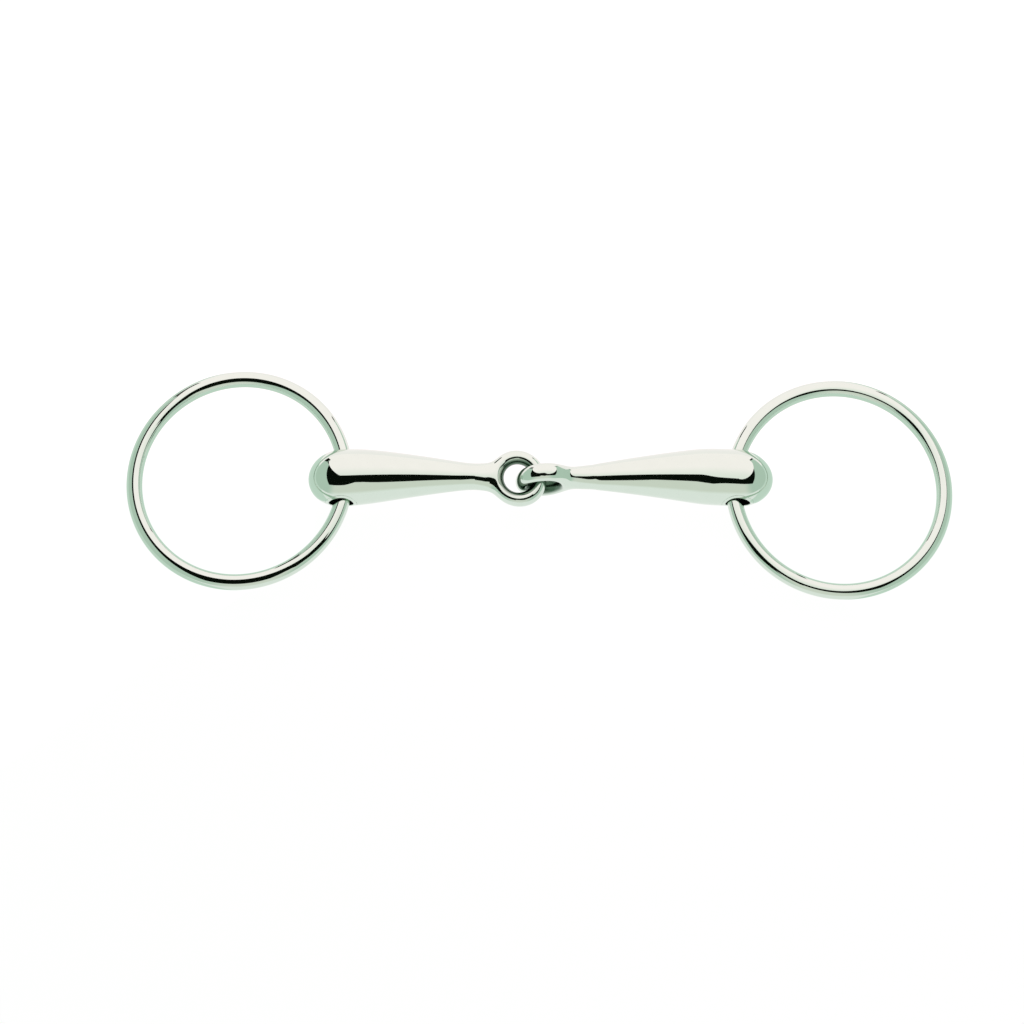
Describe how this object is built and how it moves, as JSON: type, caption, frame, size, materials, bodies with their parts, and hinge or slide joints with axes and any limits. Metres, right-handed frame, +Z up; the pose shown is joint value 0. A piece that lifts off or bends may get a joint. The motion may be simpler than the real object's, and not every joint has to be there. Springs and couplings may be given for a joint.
{
  "type": "snaffle bit",
  "caption": "Loose-ring snaffle bit: a tapered hollow mouthpiece with a linked-eye joint in its middle, and a round wire ring that swings and slides in a hole through each thick end.",
  "frame": {"origin": "on the centre joint's fold axis, at the middle of the left eye's far bar, level with the arms' axis", "axes": "+X along the mouthpiece to the right ring, +Y along the ring holes, +Z up from the surface the bit lies on"},
  "size_m": [0.2768, 0.0799, 0.019],
  "materials": {
    "polished_shell": "mirror-polished stainless steel sheet, welded and polished flush",
    "polished_eye": "forged stainless steel, polished outside and less so inside the eye",
    "ring_wire": "mirror-polished stainless steel wire",
    "tube_lining": "drawn stainless steel tube, bright but not polished"
  },
  "bodies": {
    "left_cannon": {"left_front_shell": "polished_shell", "left_rear_shell": "polished_shell", "left_centre_eye": "polished_eye"},
    "left_ring_carrier": {"left_ring_tube": "tube_lining"},
    "left_ring": {"left_ring": "ring_wire"},
    "right_cannon": {"right_front_shell": "polished_shell", "right_rear_shell": "polished_shell", "right_centre_eye": "polished_eye"},
    "right_ring_carrier": {"right_ring_tube": "tube_lining"},
    "right_ring": {"right_ring": "ring_wire"}
  },
  "joints": [
    {"name": "centre_fold", "type": "hinge", "parent": "left_cannon", "child": "right_cannon", "pos_m": [0, 0, 0], "axis": [0, 1, 0], "range_deg": [-140, 140]},
    {"name": "left_ring_swing", "type": "hinge", "parent": "left_cannon", "child": "left_ring_carrier", "pos_m": [-0.0661, 0, 0], "axis": [0, 1, 0], "range_deg": [-162, 173]},
    {"name": "left_ring_slide", "type": "hinge", "parent": "left_ring_carrier", "child": "left_ring", "pos_m": [-0.10028, 0, -0.00339], "axis": [-0.0986, 0, 0.9951], "continuous": true},
    {"name": "right_ring_swing", "type": "hinge", "parent": "right_cannon", "child": "right_ring_carrier", "pos_m": [0.0661, 0, 0], "axis": [0, -1, 0], "range_deg": [-162, 173]},
    {"name": "right_ring_slide", "type": "hinge", "parent": "right_ring_carrier", "child": "right_ring", "pos_m": [0.10023, -0.0033, -0.00338], "axis": [0.0986, 0, 0.9951], "continuous": true}
  ]
}
